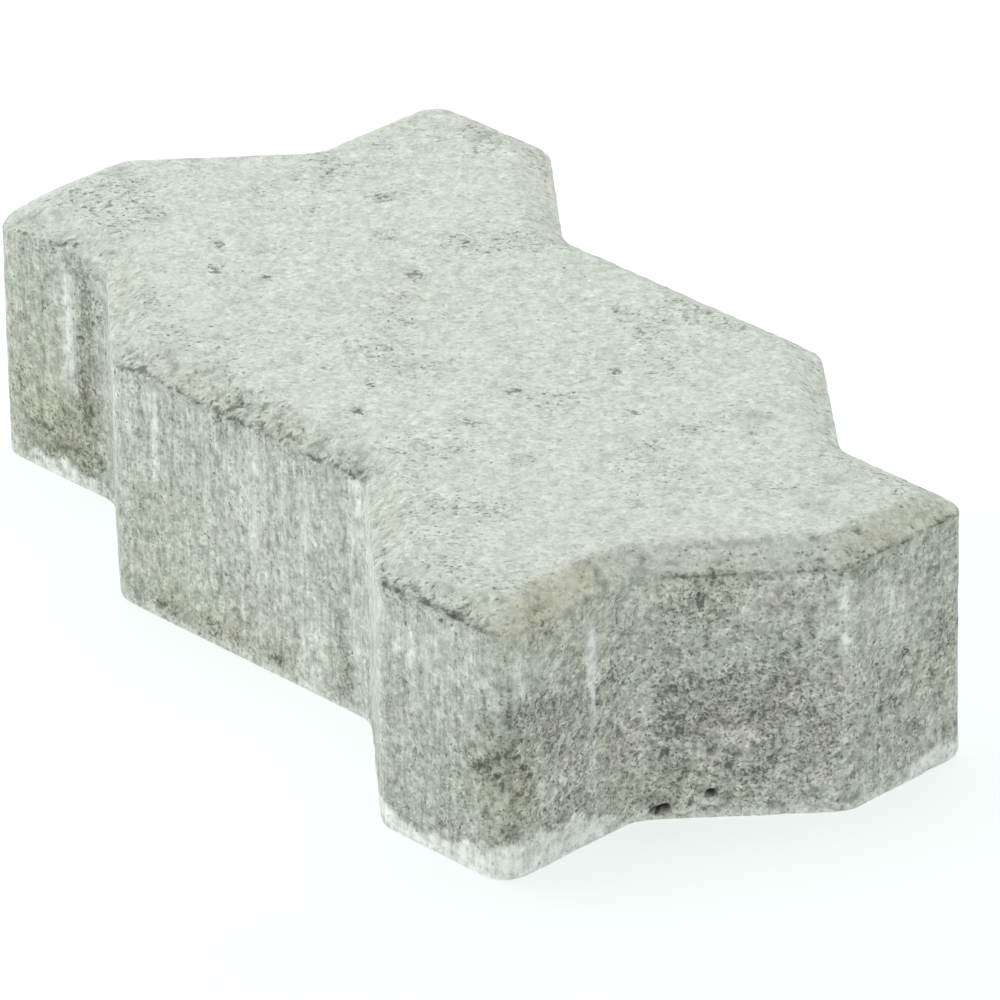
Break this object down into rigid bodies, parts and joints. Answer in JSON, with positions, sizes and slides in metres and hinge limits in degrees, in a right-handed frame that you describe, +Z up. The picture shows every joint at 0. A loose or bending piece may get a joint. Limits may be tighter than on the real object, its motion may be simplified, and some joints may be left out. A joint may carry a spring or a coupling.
{
  "type": "interlocking concrete paving stone",
  "caption": "Cast-concrete paving stone with zigzag sides that interlock, a flat bed face and a bevelled tread, stored lying flat.",
  "frame": {"origin": "centre of the footprint, on the bed face", "axes": "+X along the long axis of the stone, +Y across it, +Z up from the bed face to the tread"},
  "size_m": [0.24, 0.1276, 0.06],
  "materials": {
    "concrete": "weathered fair-faced concrete, fine open grain, matt"
  },
  "bodies": {
    "root": {"paving_stone": "concrete"}
  },
  "joints": []
}
